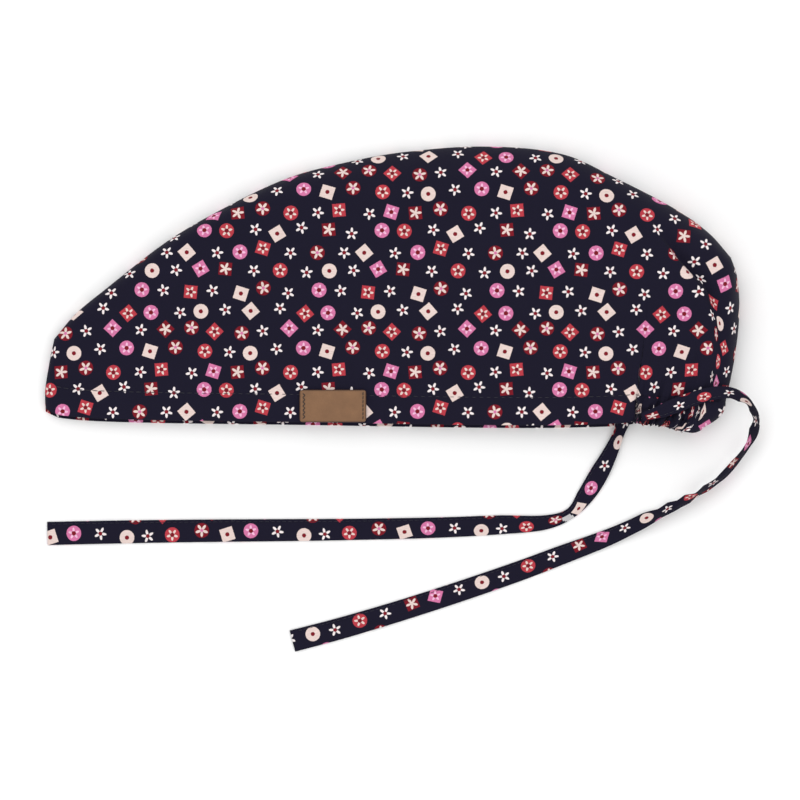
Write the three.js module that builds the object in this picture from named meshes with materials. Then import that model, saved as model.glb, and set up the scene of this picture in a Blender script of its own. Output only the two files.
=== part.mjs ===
// Surgical scrub cap of printed cotton, folded flat and lying on its side.
//
// Millimetres. +X runs from the forehead edge to the back of the head, +Y from the mouth of the
// cap to its crown, and +Z up from the floor. The origin is on the floor under the cap's middle.
// The two side panels meet at the centre seam, which is the outline of the folded cap: the
// forehead edge, the crown and the back edge. The mouth, along the hem, stays open for the head.
import * as THREE from "three";

// Driving dimensions
const WALL = 1.0; // one side of the cap: cotton with its pressed folds
const CASING_WALL = 1.6; // cotton, elastic and cotton
const GAP = 0.3; // kept between neighbouring pieces
const HEM_SHOW = 1.3; // how far the under hem shows past the upper one
const HEM_BAND = 14; // flat stretch of turned cloth along the mouth
const DOME_RISE = 52; // distance over which the cloth climbs from the hem band to the crown
const FRONT_EDGE = { reach: 5, blunt: 0.5 }; // how the cloth climbs in from the forehead edge
const BACK_EDGE_CLIMB = { reach: 10, blunt: 0.6 }; // the same at the back edge
const CASING_START = 109.9; // where the elastic ends, on both sides
const TIE = { width: 10, thickness: 1.2, steps: 46 };
const LABEL = { x: -26.6, y: -52.2, length: 30, width: 14.6, thickness: 1.2, corner: 1.6 };

// The crown line of the folded cap, from the top of the forehead edge to the back corner.
const CROWN_LINE = [
  { x: -152.5, y: -22.0 },
  { x: -143.1, y: -10.9 },
  { x: -130.0, y: 0.0 },
  { x: -102.2, y: 21.6 },
  { x: -77.9, y: 36.0 },
  { x: -47.7, y: 50.4 },
  { x: -21.2, y: 57.6 },
  { x: 5.0, y: 62.3 },
  { x: 42.0, y: 64.8 },
  { x: 77.0, y: 61.2 },
  { x: 100.8, y: 50.4 },
  { x: 128.2, y: 36.0 },
  { x: 143.1, y: 25.2 },
  { x: 152.5, y: 14.6 },
];

// The lower edge of the under hem, from the forehead to where the elastic starts.
const HEM_LINE = [
  { x: -156.6, y: -54.4 },
  { x: -149.4, y: -57.2 },
  { x: -122.4, y: -59.0 },
  { x: -41.4, y: -60.3 },
  { x: 57.6, y: -61.7 },
  { x: 102.6, y: -60.8 },
  { x: 112.0, y: -59.2 },
];

// Where the panels are sewn to the gathered casing, and the casing's own lower edge.
const NAPE = [
  { x: 109.0, sewn: -47.6, edge: -59.4 },
  { x: 120.6, sewn: -48.4, edge: -60.3 },
  { x: 129.6, sewn: -49.2, edge: -63.0 },
  { x: 139.0, sewn: -49.8, edge: -64.8 },
  { x: 151.0, sewn: -50.4, edge: -64.8 },
];

// The forehead and back edges: x at a share of the way up from the mouth.
const FOREHEAD_EDGE = [
  { up: 0.0, x: -156.4 },
  { up: 0.25, x: -156.6 },
  { up: 0.6, x: -155.0 },
  { up: 1.0, x: -152.5 },
];
const BACK_EDGE = [
  { up: 0.0, x: 150.2 },
  { up: 0.3, x: 154.2 },
  { up: 0.62, x: 156.4 },
  { up: 0.88, x: 155.2 },
  { up: 1.0, x: 152.5 },
];

// Heights of the cap's cross-section from forehead to back. seam is the centre seam, crown the
// top of the dome, hem the upper side at the mouth, reach how far in from the crown line the
// cloth takes to climb, and blunt the edge's form: 1 is a sharp fold and 0.5 a round one.
const SECTIONS = [
  { x: -157, seam: 2.4, reach: 5, blunt: 0.5, crown: 7.0, hem: 6.0 },
  { x: -120, seam: 2.6, reach: 7, blunt: 0.5, crown: 10.5, hem: 7.8 },
  { x: -60, seam: 3.2, reach: 11, blunt: 0.5, crown: 15.0, hem: 9.4 },
  { x: 0, seam: 4.0, reach: 26, blunt: 0.6, crown: 18.5, hem: 11.0 },
  { x: 60, seam: 6.0, reach: 30, blunt: 0.6, crown: 22.0, hem: 13.6 },
  { x: 110, seam: 9.0, reach: 26, blunt: 0.5, crown: 26.0, hem: 16.0 },
  { x: 157, seam: 9.0, reach: 18, blunt: 0.5, crown: 24.0, hem: 16.5 },
];

// The tuck at the back: a valley that deepens from the crown towards the nape.
const TUCK = [
  { x: 116.0, y: 29.0, depth: 0.0 },
  { x: 126.9, y: 14.4, depth: 1.6 },
  { x: 140.4, y: 0.0, depth: 2.8 },
  { x: 144.8, y: -14.0, depth: 3.4 },
  { x: 145.0, y: -30.0, depth: 3.4 },
  { x: 142.7, y: -44.0, depth: 2.4 },
];
const TUCK_WIDTH = 3.6;

// Puckers along the elastic: pitch and height of the waves at the casing's lower edge.
const PUCKER = { pitch: 7, height: 1.1 };

// Grid lines along the panels, by hem x, and around the casing, by distance from its fold.
const PANEL_BANDS = [
  { to: -150, cells: 3 },
  { to: 108.8, cells: 20 },
  { to: 110.2, cells: 1 },
  { to: 138, cells: 8 },
  { to: 150.2, cells: 6 },
];
const PANEL_ROWS = 13;
const CASING_BANDS = [
  { to: 1.2, cells: 2 },
  { to: 6, cells: 3 },
  { to: 12, cells: 3 },
  { to: 29.4, cells: 10 },
];
const CASING_ROWS = 3;

// Routes of the ties along their middle. roll is the tilt of the tape: 0 flat, 90 on its edge.
const NEAR_ROUTE = [
  { x: 112.0, y: -57.2, z: 18.6, roll: 0 },
  { x: 119.8, y: -54.9, z: 18.7, roll: 0 },
  { x: 126.1, y: -52.4, z: 18.7, roll: 0 },
  { x: 134.5, y: -49.2, z: 18.6, roll: 0 },
  { x: 142.0, y: -46.9, z: 18.4, roll: 4 },
  { x: 147.6, y: -46.0, z: 17.8, roll: 16 },
  { x: 152.6, y: -46.6, z: 16.2, roll: 34 },
  { x: 158.0, y: -48.9, z: 13.4, roll: 50 },
  { x: 162.1, y: -53.2, z: 10.6, roll: 60 },
  { x: 163.9, y: -58.8, z: 8.4, roll: 66 },
  { x: 162.9, y: -64.2, z: 6.9, roll: 68 },
  { x: 160.4, y: -69.8, z: 5.9, roll: 68 },
  { x: 156.8, y: -75.2, z: 5.4, roll: 68 },
  { x: 152.4, y: -80.4, z: 5.3, roll: 68 },
  { x: 147.6, y: -84.9, z: 5.3, roll: 70 },
  { x: 142.2, y: -88.9, z: 5.3, roll: 70 },
  { x: 136.2, y: -92.6, z: 5.2, roll: 68 },
  { x: 128.6, y: -96.6, z: 4.9, roll: 58 },
  { x: 119.6, y: -101.1, z: 4.0, roll: 38 },
  { x: 109.0, y: -106.3, z: 2.6, roll: 18 },
  { x: 96.0, y: -112.2, z: 1.3, roll: 5 },
  { x: 75.6, y: -119.9, z: 0.7, roll: 0 },
  { x: 57.6, y: -126.7, z: 0.7, roll: 0 },
  { x: 30.6, y: -136.0, z: 0.7, roll: 0 },
  { x: 3.6, y: -144.7, z: 0.7, roll: 0 },
  { x: -23.4, y: -152.7, z: 0.7, roll: 0 },
  { x: -45.0, y: -158.4, z: 0.7, roll: 0 },
];
const FAR_ROUTE = [
  { x: 105.6, y: -53.0, z: 4.6, roll: 0 },
  { x: 104.4, y: -58.0, z: 3.6, roll: 4 },
  { x: 102.4, y: -64.4, z: 2.4, roll: 10 },
  { x: 98.4, y: -73.6, z: 1.8, roll: 8 },
  { x: 93.4, y: -83.0, z: 1.2, roll: 2 },
  { x: 87.6, y: -92.4, z: 0.8, roll: 0 },
  { x: 80.4, y: -100.8, z: 0.8, roll: 0 },
  { x: 68.6, y: -104.9, z: 0.8, roll: 0 },
  { x: 48.6, y: -105.9, z: 0.7, roll: 0 },
  { x: 21.6, y: -107.1, z: 0.7, roll: 0 },
  { x: -14.4, y: -107.9, z: 0.7, roll: 0 },
  { x: -50.4, y: -108.3, z: 0.7, roll: 0 },
  { x: -86.4, y: -108.6, z: 0.7, roll: 0 },
  { x: -122.4, y: -109.1, z: 0.7, roll: 0 },
  { x: -155.7, y: -109.8, z: 0.7, roll: 0 },
];

// Materials
function printedCotton() {
  return new THREE.MeshStandardMaterial({ color: 0x1b1d3a, roughness: 0.9, metalness: 0 });
}

function gatheredCotton() {
  return new THREE.MeshStandardMaterial({ color: 0x23254a, roughness: 0.9, metalness: 0 });
}

function tieCotton() {
  return new THREE.MeshStandardMaterial({ color: 0x2a2c55, roughness: 0.9, metalness: 0 });
}

function tanLeather() {
  return new THREE.MeshStandardMaterial({ color: 0x8a6244, roughness: 0.6, metalness: 0 });
}

// Value of a table's column at a place, on a smooth curve through its rows.
function along(table, key, column, at) {
  const last = table.length - 1;
  let row = 0;
  while (row < last - 1 && at > table[row + 1][key]) {
    row += 1;
  }
  const slope = (i) => {
    const before = table[Math.max(i - 1, 0)];
    const after = table[Math.min(i + 1, last)];
    return (after[column] - before[column]) / (after[key] - before[key]);
  };
  const [left, right] = [table[row], table[row + 1]];
  const span = right[key] - left[key];
  const t = THREE.MathUtils.clamp((at - left[key]) / span, 0, 1);
  const start = left[column] * (2 * t ** 3 - 3 * t ** 2 + 1) + slope(row) * span * (t ** 3 - 2 * t ** 2 + t);
  const end = right[column] * (3 * t ** 2 - 2 * t ** 3) + slope(row + 1) * span * (t ** 3 - t ** 2);
  return start + end;
}

const section = (column, x) => along(SECTIONS, "x", column, x);

// Climb of the cloth in from an edge: 0 at the edge and 1 from its reach on, along a parabola
// raised to the power of the edge's bluntness.
function climb(inset, { reach, blunt }) {
  const share = THREE.MathUtils.clamp(inset / reach, 0, 1);
  return (1 - (1 - share) ** 2) ** blunt;
}

function underEdge(x) {
  return { reach: 3 + 0.8 * section("seam", x), blunt: 0.5 };
}

// Places from a start through bands of equal cells.
function gridLines(start, bands) {
  const lines = [start];
  let from = start;
  for (const band of bands) {
    for (let i = 1; i <= band.cells; i += 1) {
      lines.push(from + ((band.to - from) * i) / band.cells);
    }
    from = band.to;
  }
  return lines;
}

// How far the tuck presses the cloth down at a place on the upper side.
function tuckDepth(x, y) {
  let depth = 0;
  for (let i = 0; i < TUCK.length - 1; i += 1) {
    const from = new THREE.Vector2(TUCK[i].x, TUCK[i].y);
    const run = new THREE.Vector2(TUCK[i + 1].x, TUCK[i + 1].y).sub(from);
    const place = new THREE.Vector2(x, y).sub(from);
    const share = THREE.MathUtils.clamp(place.dot(run) / run.lengthSq(), 0, 1);
    const off = place.addScaledVector(run, -share).length();
    const here = THREE.MathUtils.lerp(TUCK[i].depth, TUCK[i + 1].depth, share);
    depth = Math.max(depth, here * Math.exp(-((off / TUCK_WIDTH) ** 2)));
  }
  return depth;
}

// Plan of a side panel. hemX is a column's place on the hem and up the share of the way from the
// mouth to the crown line. Gives the point with its distances in from the edges of the seam.
function panelPlan(hemX, up, hemLift) {
  const foot = FOREHEAD_EDGE[0].x;
  const back = BACK_EDGE[0].x;
  const across = (hemX - foot) / (back - foot);
  const edgeX = (share) => [
    along(FOREHEAD_EDGE, "up", "x", share),
    along(BACK_EDGE, "up", "x", share),
  ];
  const [front, rear] = edgeX(up);
  const [topFront, topRear] = edgeX(1);
  const x = THREE.MathUtils.lerp(front, rear, across);
  const crownX = THREE.MathUtils.lerp(topFront, topRear, across);
  const crownY = along(CROWN_LINE, "x", "y", crownX);
  const slope = (along(CROWN_LINE, "x", "y", crownX + 1) - along(CROWN_LINE, "x", "y", crownX - 1)) / 2;
  const openY = along(HEM_LINE, "x", "y", hemX) + hemLift;
  const gathered = hemX > CASING_START;
  const hemY = gathered ? along(NAPE, "x", "sewn", hemX) : openY;
  const mouthY = gathered ? along(NAPE, "x", "edge", hemX) : openY;
  const y = THREE.MathUtils.lerp(hemY, crownY, up);
  return {
    x,
    y,
    fromMouth: y - mouthY,
    inset: {
      front: x - front,
      crown: (crownY - y) / Math.hypot(1, slope),
      back: rear - x,
    },
  };
}

// Outer face of the upper side: hem band and dome, which climb from whichever edge of the seam is
// nearest, and the tuck.
function upperPoint(hemX, up) {
  const { x, y, fromMouth, inset } = panelPlan(hemX, up, HEM_SHOW);
  const seam = section("seam", x) + GAP / 2;
  const rise = THREE.MathUtils.smoothstep(fromMouth, HEM_BAND, HEM_BAND + DOME_RISE);
  const dome = THREE.MathUtils.lerp(section("hem", x), section("crown", x), rise);
  const crownEdge = { reach: section("reach", x), blunt: section("blunt", x) };
  const backClimb = climb(inset.back, BACK_EDGE_CLIMB);
  const climbed = Math.min(climb(inset.front, FRONT_EDGE), climb(inset.crown, crownEdge), backClimb);
  const z = seam + (dome - seam) * climbed - tuckDepth(x, y) * backClimb;
  return new THREE.Vector3(x, y, z);
}

// Outer face of the under side: flat on the floor, turned up to the seam at its edges.
function underPoint(hemX, up) {
  const { x, y, inset } = panelPlan(hemX, up, 0);
  const edge = underEdge(x);
  const flat = climb(inset.front, edge) * climb(inset.crown, edge) * climb(inset.back, edge);
  return new THREE.Vector3(x, y, (section("seam", x) - GAP / 2) * (1 - flat));
}

// Outer face of the casing. around runs from the upper end (below 0), over the fold at the nape
// (0), to the under end (above 0). up is 0 at the lower edge and 1 where it is sewn on.
function casingPoint(around, up) {
  const fold = 139 + 11.2 * (1 - (1 - up) ** 2.5);
  const shrink = 1 + (fold - 150.2) / 42;
  const inset = Math.abs(around) * shrink;
  const x = fold - inset * 1.36;
  const y = THREE.MathUtils.lerp(along(NAPE, "x", "edge", x), along(NAPE, "x", "sewn", x) - GAP, up);
  const seam = section("seam", fold);
  if (around > 0) {
    return new THREE.Vector3(x, y, seam * (1 - climb(fold - x, underEdge(fold))));
  }
  const loose = (1 - up) * climb(fold - x, { reach: 18, blunt: 1 });
  const pucker = PUCKER.height * loose * Math.sin((2 * Math.PI * x) / PUCKER.pitch);
  const z = seam + (section("hem", x) - seam) * climb(fold - x, BACK_EDGE_CLIMB) + pucker;
  return new THREE.Vector3(x, y, z);
}

// Unit normal of a grid of points at one of them, from its neighbours.
function gridNormal(grid, i, j) {
  const across = grid[Math.min(i + 1, grid.length - 1)][j].clone().sub(grid[Math.max(i - 1, 0)][j]);
  const lastRow = grid[0].length - 1;
  const upward = grid[i][Math.min(j + 1, lastRow)].clone().sub(grid[i][Math.max(j - 1, 0)]);
  return across.cross(upward).normalize();
}

// Direction out of a side panel at its seam: level, and square to the outline.
function seamNormal(grid, i, j) {
  const [lastColumn, lastRow] = [grid.length - 1, grid[0].length - 1];
  const normal = new THREE.Vector3();
  if (j === lastRow) {
    const run = grid[Math.min(i + 1, lastColumn)][j].clone().sub(grid[Math.max(i - 1, 0)][j]);
    normal.add(new THREE.Vector3(-run.y, run.x, 0).normalize());
  }
  if (i === 0 || i === lastColumn) {
    const run = grid[i][Math.min(j + 1, lastRow)].clone().sub(grid[i][Math.max(j - 1, 0)]);
    const side = i === 0 ? -1 : 1;
    normal.add(new THREE.Vector3(run.y, -run.x, 0).normalize().multiplyScalar(side));
  }
  return normal.normalize();
}

// Closed wall of cloth: a grid of outer points, the same grid set inwards, and rims between them.
// normalAt gives the outward direction at a grid point. mirrored says that the grid runs the
// other way round when seen from outside.
function clothWall(grid, wall, normalAt, mirrored) {
  const [columns, rows] = [grid.length, grid[0].length];
  const positions = [];
  for (const depth of [0, wall]) {
    for (let i = 0; i < columns; i += 1) {
      for (let j = 0; j < rows; j += 1) {
        const point = grid[i][j].clone().addScaledVector(normalAt(i, j), -depth);
        positions.push(point.x, point.y, point.z);
      }
    }
  }
  const triangles = [];
  const quad = (a, b, c, d) => {
    const turns = mirrored ? [a, c, b, a, d, c] : [a, b, c, a, c, d];
    triangles.push(...turns);
  };
  const outer = (i, j) => i * rows + j;
  const inner = (i, j) => columns * rows + outer(i, j);
  for (let i = 0; i < columns - 1; i += 1) {
    for (let j = 0; j < rows - 1; j += 1) {
      quad(outer(i, j), outer(i + 1, j), outer(i + 1, j + 1), outer(i, j + 1));
      quad(inner(i, j), inner(i, j + 1), inner(i + 1, j + 1), inner(i + 1, j));
    }
    const top = rows - 1;
    quad(inner(i, 0), inner(i + 1, 0), outer(i + 1, 0), outer(i, 0));
    quad(outer(i, top), outer(i + 1, top), inner(i + 1, top), inner(i, top));
  }
  for (let j = 0; j < rows - 1; j += 1) {
    const end = columns - 1;
    quad(inner(0, j), outer(0, j), outer(0, j + 1), inner(0, j + 1));
    quad(outer(end, j), inner(end, j), inner(end, j + 1), outer(end, j + 1));
  }
  const geometry = new THREE.BufferGeometry();
  geometry.setAttribute("position", new THREE.Float32BufferAttribute(positions, 3));
  geometry.setIndex(triangles);
  geometry.computeVertexNormals();
  return geometry;
}

// Side panel: rows are closer together towards the crown line, where the cloth rolls over.
function sidePanel(pointAt, mirrored) {
  const columns = gridLines(FOREHEAD_EDGE[0].x, PANEL_BANDS);
  const rows = Array.from({ length: PANEL_ROWS + 1 }, (_, j) => 1 - (1 - j / PANEL_ROWS) ** 1.8);
  const grid = columns.map((hemX) => rows.map((up) => pointAt(hemX, up)));
  const facing = mirrored ? -1 : 1;
  const normalAt = (i, j) => {
    const atSeam = i === 0 || i === columns.length - 1 || j === rows.length - 1;
    return atSeam ? seamNormal(grid, i, j) : gridNormal(grid, i, j).multiplyScalar(facing);
  };
  return clothWall(grid, WALL, normalAt, mirrored);
}

function napeCasing() {
  const insets = gridLines(0, CASING_BANDS);
  const around = [...insets.slice(1).reverse().map((inset) => -inset), ...insets];
  const rows = Array.from({ length: CASING_ROWS + 1 }, (_, j) => j / CASING_ROWS);
  const grid = around.map((place) => rows.map((up) => casingPoint(place, up)));
  return clothWall(grid, CASING_WALL, (i, j) => gridNormal(grid, i, j), false);
}

function roundedRectangle(length, width, corner) {
  const [x, y] = [length / 2, width / 2];
  const outline = new THREE.Shape();
  outline.moveTo(-x + corner, -y);
  outline.lineTo(x - corner, -y);
  outline.absarc(x - corner, -y + corner, corner, -Math.PI / 2, 0, false);
  outline.absarc(x - corner, y - corner, corner, 0, Math.PI / 2, false);
  outline.absarc(-x + corner, y - corner, corner, Math.PI / 2, Math.PI, false);
  outline.absarc(-x + corner, -y + corner, corner, Math.PI, 1.5 * Math.PI, false);
  return outline;
}

function leatherLabel() {
  const outline = roundedRectangle(LABEL.length, LABEL.width, LABEL.corner);
  const extrusion = { depth: LABEL.thickness, bevelEnabled: false, curveSegments: 4 };
  return new THREE.ExtrudeGeometry(outline, extrusion);
}

// A tape's route, whose frames keep the tape level or tilted by the route's roll.
class TapeRoute extends THREE.CatmullRomCurve3 {
  constructor(route) {
    super(route.map((row) => new THREE.Vector3(row.x, row.y, row.z)));
    this.rolls = route.map((row, index) => ({ index, roll: row.roll }));
  }

  computeFrenetFrames(segments) {
    const frames = { tangents: [], normals: [], binormals: [] };
    for (let i = 0; i <= segments; i += 1) {
      const t = this.getUtoTmapping(i / segments);
      const tangent = this.getTangent(t);
      const level = new THREE.Vector3(0, 0, 1).cross(tangent).normalize();
      const roll = along(this.rolls, "index", "roll", t * (this.rolls.length - 1));
      const normal = level.applyAxisAngle(tangent, THREE.MathUtils.degToRad(roll));
      frames.tangents.push(tangent);
      frames.normals.push(normal);
      frames.binormals.push(tangent.clone().cross(normal));
    }
    return frames;
  }
}

// Flat tie: an eight-sided section, nearly a rectangle, carried along its route.
function clothTie(route) {
  const [half, thick] = [TIE.width / 2, TIE.thickness / 2];
  const bevel = thick / 2;
  const corners = [
    [half, bevel],
    [half - bevel, thick],
    [bevel - half, thick],
    [-half, bevel],
    [-half, -bevel],
    [bevel - half, -thick],
    [half - bevel, -thick],
    [half, -bevel],
  ];
  const outline = new THREE.Shape(corners.map(([x, y]) => new THREE.Vector2(x, y)));
  const extrusion = { steps: TIE.steps, extrudePath: new TapeRoute(route), bevelEnabled: false };
  return new THREE.ExtrudeGeometry(outline, extrusion);
}

function piece(name, geometry, material) {
  const mesh = new THREE.Mesh(geometry, material);
  mesh.name = name;
  return mesh;
}

const label = piece("leather_label", leatherLabel(), tanLeather());
const labelSlope = (section("hem", LABEL.x + 10) - section("hem", LABEL.x - 10)) / 20;
label.position.set(LABEL.x, LABEL.y, section("hem", LABEL.x) + GAP + 0.1);
label.rotation.y = -Math.atan(labelSlope);

const cap = new THREE.Group();
cap.add(
  piece("side_panel_upper", sidePanel(upperPoint, false), printedCotton()),
  piece("side_panel_under", sidePanel(underPoint, true), printedCotton()),
  piece("nape_casing", napeCasing(), gatheredCotton()),
  label,
  piece("tie_near", clothTie(NEAR_ROUTE), tieCotton()),
  piece("tie_far", clothTie(FAR_ROUTE), tieCotton()),
);

export default cap;
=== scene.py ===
"""Surgical scrub cap of printed cotton, folded flat on its side, with its ties laid beside it."""
import math
import bpy
import numpy as np
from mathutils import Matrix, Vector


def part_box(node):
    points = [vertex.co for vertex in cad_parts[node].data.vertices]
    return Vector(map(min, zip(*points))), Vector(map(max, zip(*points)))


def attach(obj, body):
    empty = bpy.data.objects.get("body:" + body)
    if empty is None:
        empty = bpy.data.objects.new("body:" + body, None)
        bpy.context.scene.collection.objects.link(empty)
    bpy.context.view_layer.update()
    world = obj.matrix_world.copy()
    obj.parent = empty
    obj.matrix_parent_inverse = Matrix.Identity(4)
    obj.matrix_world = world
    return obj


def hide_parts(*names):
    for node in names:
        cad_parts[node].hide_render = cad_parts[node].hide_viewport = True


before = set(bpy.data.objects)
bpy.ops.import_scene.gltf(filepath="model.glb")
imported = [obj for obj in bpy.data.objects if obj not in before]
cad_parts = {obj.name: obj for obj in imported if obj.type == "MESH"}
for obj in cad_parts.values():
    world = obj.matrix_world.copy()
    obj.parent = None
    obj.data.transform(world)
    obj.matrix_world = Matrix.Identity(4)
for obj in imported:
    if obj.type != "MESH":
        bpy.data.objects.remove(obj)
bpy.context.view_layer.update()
MM = 0.001  # the tables below are in millimetres, the meshes in metres

# ---------------------------------------------------------------- the cap's own sizes

COTTON = 0.45  # one layer of cloth with its finish
HEM_COTTON = 1.0  # cloth turned twice along the mouth
CASING_WALL = 1.7  # cloth, elastic and cloth
HEM_SHOW = 1.3  # how far the under hem shows past the upper one
HEM_DEPTH = 12.0  # from the mouth to the topstitching
HEM_BAND = 14.0  # flat stretch along the mouth before the dome climbs
DOME_RISE = 52.0  # from the hem band to where the dome has its crown height
FRONT_CLIMB = dict(reach=5.0, blunt=0.5)  # how the cloth climbs in from the forehead edge
BACK_CLIMB = dict(reach=10.0, blunt=0.6)  # the same at the back edge
CASING_START = 109.4  # where the open hem ends and the gathered casing starts
SEAM_SLIT = 0.02  # half of the hairline between the two sides at the centre seam

CROWN_LINE = (
    dict(x=-152.5, y=-22.0), dict(x=-143.1, y=-10.9), dict(x=-130.0, y=0.0),
    dict(x=-102.2, y=21.6), dict(x=-77.9, y=36.0), dict(x=-47.7, y=50.4),
    dict(x=-21.2, y=57.6), dict(x=5.0, y=62.3), dict(x=42.0, y=64.8),
    dict(x=77.0, y=61.2), dict(x=100.8, y=50.4), dict(x=128.2, y=36.0),
    dict(x=143.1, y=25.2), dict(x=152.5, y=14.6),
)
HEM_LINE = (
    dict(x=-156.6, y=-54.4), dict(x=-149.4, y=-57.2), dict(x=-122.4, y=-59.0),
    dict(x=-41.4, y=-60.3), dict(x=57.6, y=-61.7), dict(x=102.6, y=-60.8),
    dict(x=112.0, y=-59.2),
)
NAPE = (  # sewn: where the sides join the casing; edge: the casing's lower edge
    dict(x=109.0, sewn=-47.6, edge=-59.4), dict(x=120.6, sewn=-48.4, edge=-60.3),
    dict(x=129.6, sewn=-49.2, edge=-63.0), dict(x=139.0, sewn=-49.8, edge=-64.8),
    dict(x=151.0, sewn=-50.4, edge=-64.8),
)
FOREHEAD_EDGE = (
    dict(up=0.0, x=-156.4), dict(up=0.25, x=-156.6), dict(up=0.6, x=-155.0), dict(up=1.0, x=-152.5),
)
BACK_EDGE = (
    dict(up=0.0, x=150.2), dict(up=0.3, x=154.2), dict(up=0.62, x=156.4),
    dict(up=0.88, x=155.2), dict(up=1.0, x=152.5),
)
SECTIONS = (  # heights across the cap; reach and blunt give the climb in from the crown line
    dict(x=-157, seam=2.4, reach=5, blunt=0.5, crown=7.0, hem=6.0),
    dict(x=-120, seam=2.6, reach=7, blunt=0.5, crown=10.5, hem=7.8),
    dict(x=-60, seam=3.2, reach=11, blunt=0.5, crown=15.0, hem=9.4),
    dict(x=0, seam=4.0, reach=26, blunt=0.6, crown=18.5, hem=11.0),
    dict(x=60, seam=6.0, reach=30, blunt=0.6, crown=22.0, hem=13.6),
    dict(x=110, seam=9.0, reach=26, blunt=0.5, crown=26.0, hem=16.0),
    dict(x=157, seam=9.0, reach=18, blunt=0.5, crown=24.0, hem=16.5),
)
TUCK = (  # the valley near the back, where spare cloth folds under; soft in its lower half
    dict(x=116.0, y=29.0, depth=0.0), dict(x=121.5, y=21.8, depth=1.8), dict(x=126.9, y=14.4, depth=3.2),
    dict(x=134.0, y=6.8, depth=4.0), dict(x=140.4, y=0.0, depth=3.4), dict(x=144.8, y=-14.0, depth=1.7),
    dict(x=145.0, y=-30.0, depth=1.3), dict(x=142.7, y=-44.0, depth=1.2),
)
TUCK_WEDGE = math.radians(12)  # spare cloth that the tuck swallows, as a wedge from its top end
GATHER = 2.5  # cloth in the casing for each unit of its gathered length
GATHER_WAVES = (  # the uneven gathers are three waves added up
    dict(share=0.5, pitch=6.1, phase=0.4), dict(share=0.35, pitch=3.7, phase=1.9),
    dict(share=0.3, pitch=2.6, phase=4.0),
)
CREASES = (  # dents that the gathers throw; slant is the x gained for each unit of y
    dict(x=137.0, y=-32.0, slant=0.25, width=1.6, middle=-34.0, length=8.0, depth=1.1),
    dict(x=118.0, y=-47.0, slant=-0.1, width=1.1, middle=-47.0, length=6.0, depth=0.9),
)
FOLD_FOOT = 139.0  # x of the casing's fold at its lower edge
FOLD_LEAN = 11.2  # how much further back the fold lies at the sewn edge
CASING_RUN = 42.0  # sets how the casing's grid lines fan out towards the sewn edge
CASING_SPREAD = 1.36  # the sewn edge's run for each unit of the lower edge's
CASING_END = 29.4  # the lower edge's run, from the fold to where the elastic starts

# Routes of the ties along their middle. roll tilts the tape: 0 flat, 90 on its edge.
NEAR_ROUTE = (
    dict(x=112.0, y=-57.2, z=18.6, roll=0, width=3.4), dict(x=119.8, y=-54.9, z=18.7, roll=0, width=5.6),
    dict(x=126.1, y=-52.4, z=18.7, roll=0, width=6.6), dict(x=134.5, y=-49.2, z=18.6, roll=0, width=6.4),
    dict(x=142.0, y=-46.9, z=18.4, roll=4, width=6.0), dict(x=147.6, y=-46.0, z=17.8, roll=16, width=5.6),
    dict(x=152.6, y=-46.6, z=16.2, roll=34, width=5.6), dict(x=158.0, y=-48.9, z=13.4, roll=50, width=6.0),
    dict(x=162.1, y=-53.2, z=10.6, roll=60, width=6.2), dict(x=163.9, y=-58.8, z=8.4, roll=66, width=6.2),
    dict(x=162.9, y=-64.2, z=6.9, roll=68, width=6.2), dict(x=160.4, y=-69.8, z=5.9, roll=68, width=6.2),
    dict(x=156.8, y=-75.2, z=5.4, roll=68, width=6.2), dict(x=152.4, y=-80.4, z=5.3, roll=68, width=6.2),
    dict(x=147.6, y=-84.9, z=5.3, roll=70, width=6.4), dict(x=142.2, y=-88.9, z=5.3, roll=70, width=6.6),
    dict(x=136.2, y=-92.6, z=5.2, roll=68, width=6.8), dict(x=128.6, y=-96.6, z=4.9, roll=58, width=6.8),
    dict(x=119.6, y=-101.1, z=4.0, roll=38, width=6.6), dict(x=109.0, y=-106.3, z=2.6, roll=18, width=6.8),
    dict(x=96.0, y=-112.2, z=1.3, roll=5, width=7.6), dict(x=75.6, y=-119.9, z=0.7, roll=0, width=8.6),
    dict(x=57.6, y=-126.7, z=0.7, roll=0, width=9.0), dict(x=30.6, y=-136.0, z=0.7, roll=0, width=9.2),
    dict(x=3.6, y=-144.7, z=0.7, roll=0, width=9.4), dict(x=-23.4, y=-152.7, z=0.7, roll=0, width=9.7),
    dict(x=-45.0, y=-158.4, z=0.7, roll=0, width=9.9),
)
FAR_ROUTE = (
    dict(x=105.6, y=-53.0, z=4.6, roll=0, width=7.2), dict(x=104.4, y=-58.0, z=3.6, roll=4, width=7.0),
    dict(x=102.4, y=-64.4, z=2.4, roll=10, width=5.2), dict(x=98.4, y=-73.6, z=1.8, roll=8, width=6.8),
    dict(x=93.4, y=-83.0, z=1.2, roll=2, width=8.4), dict(x=87.6, y=-92.4, z=0.8, roll=0, width=7.8),
    dict(x=80.4, y=-100.8, z=0.8, roll=0, width=4.9), dict(x=68.6, y=-104.9, z=0.8, roll=0, width=6.6),
    dict(x=48.6, y=-105.9, z=0.7, roll=0, width=8.6), dict(x=21.6, y=-107.1, z=0.7, roll=0, width=9.2),
    dict(x=-14.4, y=-107.9, z=0.7, roll=0, width=9.6), dict(x=-50.4, y=-108.3, z=0.7, roll=0, width=10.0),
    dict(x=-86.4, y=-108.6, z=0.7, roll=0, width=10.2), dict(x=-122.4, y=-109.1, z=0.7, roll=0, width=10.4),
    dict(x=-155.7, y=-109.8, z=0.7, roll=0, width=10.5),
)
TIE_THICKNESS = 0.8
TIE_WIDTH = 10.0  # as sewn; the widths in the routes are less where the tape is creased
TURNED_OUT = dict(x=80.0, y=-102.9, along=3.4, across=1.5, stop=82.5)  # shows the reverse

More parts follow.
